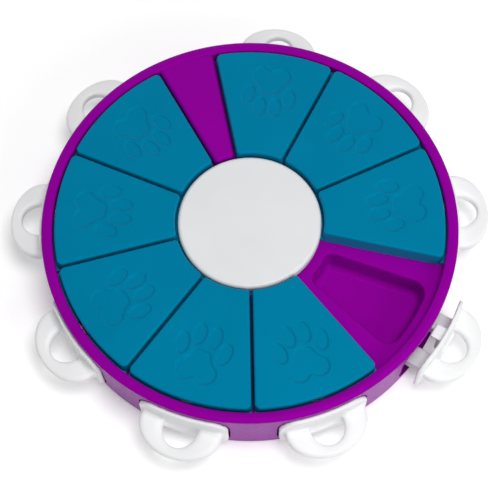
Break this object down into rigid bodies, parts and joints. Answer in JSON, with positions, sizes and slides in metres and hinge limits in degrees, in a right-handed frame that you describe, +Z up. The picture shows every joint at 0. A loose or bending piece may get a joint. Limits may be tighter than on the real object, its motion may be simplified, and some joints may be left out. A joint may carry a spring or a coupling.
{
  "type": "dog puzzle feeder",
  "caption": "Round puzzle feeder for dogs: treat pockets under paw-print covers that slide round the centre, each locked by a loop handle that pulls out of the side wall.",
  "frame": {"origin": "on the body's axis, on the surface that the rubber feet stand on", "axes": "+Z up, out of the tray; the fixed wedge between the bays points 105 degrees from +X towards +Y, and bay 3 lies along +X"},
  "size_m": [0.3049, 0.2991, 0.0465],
  "materials": {
    "purple_shell": "semi-gloss injection-moulded",
    "teal_covers": "satin",
    "white_parts": "semi-gloss",
    "screws": "plain",
    "feet": "matt"
  },
  "bodies": {
    "body": {"tray": "purple_shell", "base": "purple_shell", "centre_cap": "white_parts", "cap_screws": "screws", "base_screws": "screws", "feet": "feet", "treat_cup_1": "purple_shell", "treat_cup_2": "purple_shell", "treat_cup_3": "purple_shell", "treat_cup_4": "purple_shell", "treat_cup_5": "purple_shell", "treat_cup_6": "purple_shell", "treat_cup_7": "purple_shell", "treat_cup_8": "purple_shell", "treat_cup_9": "purple_shell"},
    "cover_1": {"cover_1": "teal_covers"},
    "cover_2": {"cover_2": "teal_covers"},
    "cover_3": {"cover_3": "teal_covers"},
    "cover_5": {"cover_5": "teal_covers"},
    "cover_6": {"cover_6": "teal_covers"},
    "cover_7": {"cover_7": "teal_covers"},
    "cover_8": {"cover_8": "teal_covers"},
    "cover_9": {"cover_9": "teal_covers"},
    "handle_1": {"handle_1": "white_parts"},
    "handle_2": {"handle_2": "white_parts"},
    "handle_3": {"handle_3": "white_parts"},
    "handle_4": {"handle_4": "white_parts"},
    "handle_5": {"handle_5": "white_parts"},
    "handle_6": {"handle_6": "white_parts"},
    "handle_7": {"handle_7": "white_parts"},
    "handle_8": {"handle_8": "white_parts"},
    "handle_9": {"handle_9": "white_parts"}
  },
  "joints": [
    {"name": "cover_1_turn", "type": "hinge", "parent": "body", "child": "cover_1", "pos_m": [0, 0, 0], "axis": [0, 0, 1], "range_deg": [-38, 0]},
    {"name": "cover_2_turn", "type": "hinge", "parent": "body", "child": "cover_2", "pos_m": [0, 0, 0], "axis": [0, 0, 1], "range_deg": [-38, 0]},
    {"name": "cover_3_turn", "type": "hinge", "parent": "body", "child": "cover_3", "pos_m": [0, 0, 0], "axis": [0, 0, 1], "range_deg": [-38, 0]},
    {"name": "cover_9_turn", "type": "hinge", "parent": "body", "child": "cover_9", "pos_m": [0, 0, 0], "axis": [0, 0, 1], "range_deg": [0, 38]},
    {"name": "cover_8_turn", "type": "hinge", "parent": "body", "child": "cover_8", "pos_m": [0, 0, 0], "axis": [0, 0, 1], "range_deg": [0, 38]},
    {"name": "cover_7_turn", "type": "hinge", "parent": "body", "child": "cover_7", "pos_m": [0, 0, 0], "axis": [0, 0, 1], "range_deg": [0, 38]},
    {"name": "cover_6_turn", "type": "hinge", "parent": "body", "child": "cover_6", "pos_m": [0, 0, 0], "axis": [0, 0, 1], "range_deg": [0, 38]},
    {"name": "cover_5_turn", "type": "hinge", "parent": "body", "child": "cover_5", "pos_m": [0, 0, 0], "axis": [0, 0, 1], "range_deg": [0, 38]},
    {"name": "handle_1_slide", "type": "slide", "parent": "body", "child": "handle_1", "axis": [0.225, 0.9744, 0], "range_m": [-0.003, 0.01]},
    {"name": "handle_2_slide", "type": "slide", "parent": "body", "child": "handle_2", "axis": [0.7771, 0.6293, 0], "range_m": [-0.003, 0.01]},
    {"name": "handle_3_slide", "type": "slide", "parent": "body", "child": "handle_3", "axis": [0.9998, 0.0175, 0], "range_m": [-0.003, 0.01]},
    {"name": "handle_4_slide", "type": "slide", "parent": "body", "child": "handle_4", "axis": [0.7986, -0.6018, 0], "range_m": [-0.012, 0.001]},
    {"name": "handle_5_slide", "type": "slide", "parent": "body", "child": "handle_5", "axis": [0.2588, -0.9659, 0], "range_m": [-0.003, 0.01]},
    {"name": "handle_6_slide", "type": "slide", "parent": "body", "child": "handle_6", "axis": [-0.3907, -0.9205, 0], "range_m": [-0.003, 0.01]},
    {"name": "handle_7_slide", "type": "slide", "parent": "body", "child": "handle_7", "axis": [-0.8746, -0.4848, 0], "range_m": [-0.003, 0.01]},
    {"name": "handle_8_slide", "type": "slide", "parent": "body", "child": "handle_8", "axis": [-0.9877, 0.1564, 0], "range_m": [-0.003, 0.01]},
    {"name": "handle_9_slide", "type": "slide", "parent": "body", "child": "handle_9", "axis": [-0.682, 0.7314, 0], "range_m": [-0.003, 0.01]}
  ],
  "couplings": [
    {"joint": "cover_2_turn", "follows": "cover_1_turn", "ratio": 1},
    {"joint": "cover_3_turn", "follows": "cover_1_turn", "ratio": 1},
    {"joint": "cover_8_turn", "follows": "cover_9_turn", "ratio": 1},
    {"joint": "cover_7_turn", "follows": "cover_9_turn", "ratio": 1},
    {"joint": "cover_6_turn", "follows": "cover_9_turn", "ratio": 1},
    {"joint": "cover_5_turn", "follows": "cover_9_turn", "ratio": 1}
  ]
}
